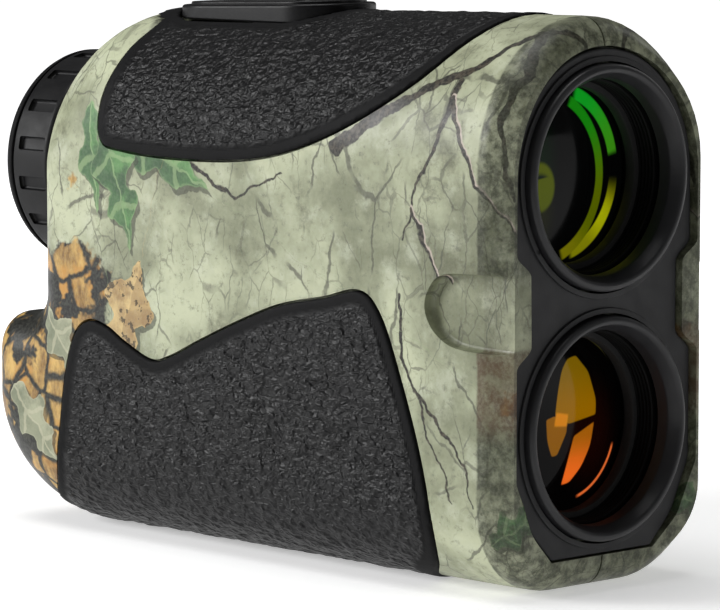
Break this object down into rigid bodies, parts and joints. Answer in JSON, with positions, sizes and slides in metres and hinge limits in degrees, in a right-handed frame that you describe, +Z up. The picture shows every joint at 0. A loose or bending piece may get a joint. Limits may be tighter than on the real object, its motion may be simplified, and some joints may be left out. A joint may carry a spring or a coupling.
{
  "type": "laser rangefinder",
  "caption": "Handheld laser rangefinder with stacked objectives, camouflage shells, rubber grips, a focusing eyepiece, top buttons and a hinged battery door.",
  "frame": {"origin": "centre of the footprint, on the plane that the lower grip's flat underside rests on", "axes": "+X out of the objectives, +Y to the user's left, +Z up"},
  "size_m": [0.106, 0.039, 0.0759],
  "materials": {
    "camo_shell": "satin printed bark and leaf pattern",
    "black_plastic": "fine matt moulding",
    "grip_rubber": "pebbled leather grain",
    "key_plastic": "satin",
    "barrel_black": "black anodised, matt",
    "upper_glass": "green anti-reflection coating",
    "lower_glass": "amber anti-reflection coating",
    "clear_glass": "polished",
    "seal_rubber": "matt",
    "frame_plastic": "matt moulding",
    "circuit_board": "solder mask",
    "device_metal": "tinned",
    "screw_steel": "plain",
    "battery_wrap": "printed wrap"
  },
  "bodies": {
    "housing": {"right_shell": "camo_shell", "left_shell": "camo_shell", "front_plate": "black_plastic", "upper_retaining_ring": "black_plastic", "lower_retaining_ring": "black_plastic", "upper_lens_barrel": "barrel_black", "lower_lens_barrel": "barrel_black", "upper_objective_lens": "upper_glass", "lower_objective_lens": "lower_glass", "upper_lens_seal": "seal_rubber", "lower_lens_seal": "seal_rubber", "top_grip": "grip_rubber", "lower_grip": "grip_rubber", "key_frame": "key_plastic", "fire_switch": "device_metal", "mode_switch": "device_metal", "button_board": "circuit_board", "main_board": "circuit_board", "processor": "frame_plastic", "optical_chassis": "frame_plastic", "roof_prism": "clear_glass", "half_prism": "clear_glass", "display_panel": "clear_glass", "ocular_mount": "frame_plastic", "receiver_cone": "barrel_black", "photodiode": "device_metal", "detector_board": "circuit_board", "laser_module": "device_metal", "battery_sleeve": "frame_plastic", "battery_cell": "battery_wrap", "battery_spring": "device_metal", "door_pin": "screw_steel", "case_screw_1": "screw_steel", "case_screw_2": "screw_steel", "case_screw_3": "screw_steel", "case_screw_4": "screw_steel"},
    "focus_ring": {"diopter_ring": "black_plastic", "eyecup": "grip_rubber"},
    "ocular": {"ocular_cell": "barrel_black", "field_lens": "clear_glass", "eye_lens": "clear_glass"},
    "fire_key": {"fire_button": "key_plastic"},
    "mode_key": {"mode_button": "key_plastic"},
    "door": {"battery_door": "camo_shell", "door_contact": "device_metal"}
  },
  "joints": [
    {"name": "diopter_turn", "type": "hinge", "parent": "housing", "child": "focus_ring", "pos_m": [-0.047, 0, 0.0515], "axis": [1, 0, 0], "range_deg": [-120, 120]},
    {"name": "ocular_travel", "type": "slide", "parent": "housing", "child": "ocular", "axis": [1, 0, 0], "range_m": [-0.00145, 0.00145]},
    {"name": "fire_press", "type": "slide", "parent": "housing", "child": "fire_key", "axis": [0, 0, -1], "range_m": [0, 0.0006], "stiffness_N_per_m": 2500, "springref_m": -0.0004},
    {"name": "mode_press", "type": "slide", "parent": "housing", "child": "mode_key", "axis": [0, 0, -1], "range_m": [0, 0.0006], "stiffness_N_per_m": 2500, "springref_m": -0.0004},
    {"name": "door_swing", "type": "hinge", "parent": "housing", "child": "door", "pos_m": [-0.049, 0, 0.0086], "axis": [0, -1, 0], "range_deg": [0, 85]}
  ],
  "couplings": [
    {"joint": "diopter_turn", "follows": "ocular_travel", "rad_per_m": 1428.6}
  ]
}
